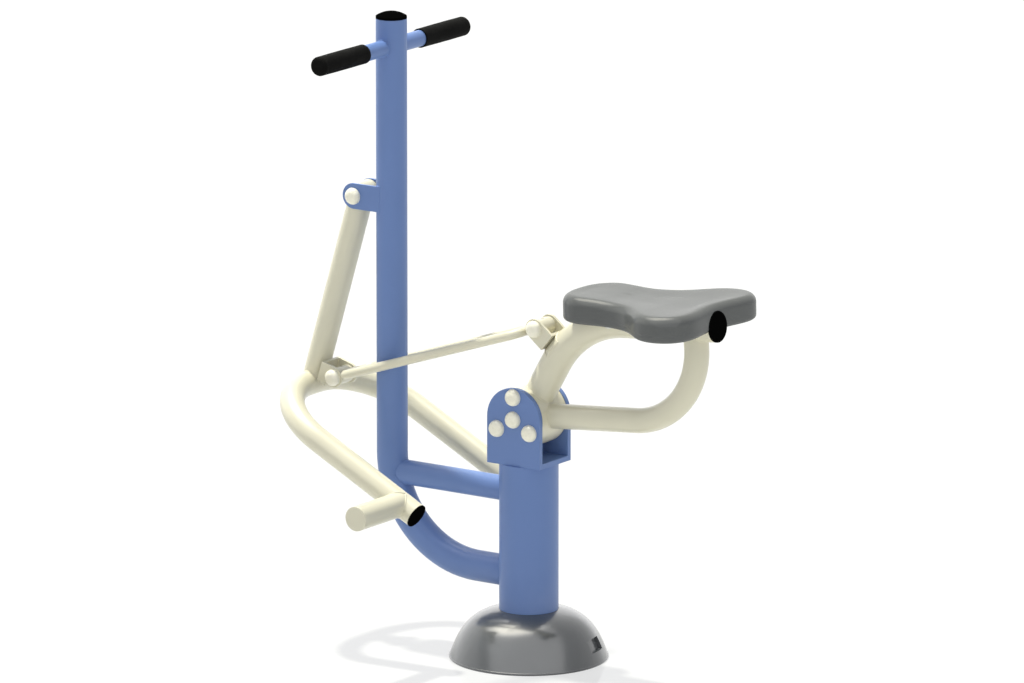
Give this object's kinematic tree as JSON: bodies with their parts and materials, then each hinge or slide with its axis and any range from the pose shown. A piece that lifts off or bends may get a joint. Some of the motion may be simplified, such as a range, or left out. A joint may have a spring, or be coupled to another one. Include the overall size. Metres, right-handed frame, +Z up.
{
  "type": "outdoor seated rider exerciser",
  "caption": "Outdoor seated rider exerciser: a post under a domed cover carries a handlebar post, a rocking saddle frame and a linked foot yoke with pegs.",
  "frame": {"origin": "on the floor under the main post's axis, at the centre of the anchor bolt circle", "axes": "+X from the handle post towards the seat, +Y to the rider's left when facing the handlebar's far side of the picture, +Z up; the part is the same on both sides of the XZ plane"},
  "size_m": [0.9718, 0.628, 1.225],
  "materials": {
    "blue_paint": "satin powder coat",
    "cream_paint": "gloss powder coat",
    "cream_plastic": "gloss moulded caps",
    "black_plastic": "matte moulded plugs",
    "steel": "zinc plated",
    "black_rubber": "matte",
    "grip_rubber": "matte",
    "grey_cover": "gloss moulded cover",
    "seat_plastic": "satin moulded",
    "bronze": "sintered bush"
  },
  "bodies": {
    "stand": {"base_flange": "blue_paint", "main_post": "blue_paint", "gussets": "blue_paint", "dome_cover": "grey_cover", "pivot_fork": "blue_paint", "hub_axle": "steel", "hub_bolts": "steel", "hub_caps": "cream_plastic", "handle_post": "blue_paint", "brace_tube": "blue_paint", "handlebar": "blue_paint", "handle_grips": "grip_rubber", "handle_post_cap": "black_plastic", "lever_ears": "blue_paint", "lever_pivot_bolt": "steel", "lever_pivot_nut": "steel", "lever_pivot_caps": "cream_plastic", "stop_buffers": "black_rubber"},
    "seat_frame": {"hub_drum": "cream_paint", "hub_bearings": "steel", "hub_seals": "black_rubber", "seat_upper_tube": "cream_paint", "seat_lower_tube": "cream_paint", "seat_tube_cap": "black_plastic", "seat_link_fork": "cream_paint", "seat_link_bolt": "steel", "seat_link_nut": "steel", "seat_link_caps": "cream_plastic", "seat": "seat_plastic", "seat_cleats": "cream_paint", "seat_bolts": "steel"},
    "lever": {"lever_housing": "cream_paint", "lever_bushes": "bronze", "yoke_tube": "cream_paint", "lever_tube": "cream_paint", "yoke_end_caps": "black_plastic", "foot_pegs": "cream_paint", "lever_link_fork": "cream_paint", "lever_link_bolt": "steel", "lever_link_nut": "steel", "lever_link_caps": "cream_plastic"},
    "link": {"link_loop": "cream_paint", "link_eye_lever": "cream_paint", "link_eye_seat": "cream_paint", "link_bush_lever": "bronze", "link_bush_seat": "bronze", "grease_plugs": "black_rubber"}
  },
  "joints": [
    {"name": "seat_swing", "type": "hinge", "parent": "stand", "child": "seat_frame", "pos_m": [0, 0, 0.476], "axis": [0, -1, 0], "range_deg": [0, 20]},
    {"name": "lever_swing", "type": "hinge", "parent": "stand", "child": "lever", "pos_m": [-0.3899, 0, 0.86], "axis": [0, 1, 0], "range_deg": [0, 10.6]},
    {"name": "link_swing", "type": "hinge", "parent": "seat_frame", "child": "link", "pos_m": [0.0312, 0, 0.6525], "axis": [0, 1, 0], "range_deg": [0, 21.6]}
  ],
  "couplings": [
    {"joint": "lever_swing", "follows": "seat_swing", "ratio": 0.5262},
    {"joint": "link_swing", "follows": "seat_swing", "ratio": 1.075}
  ]
}
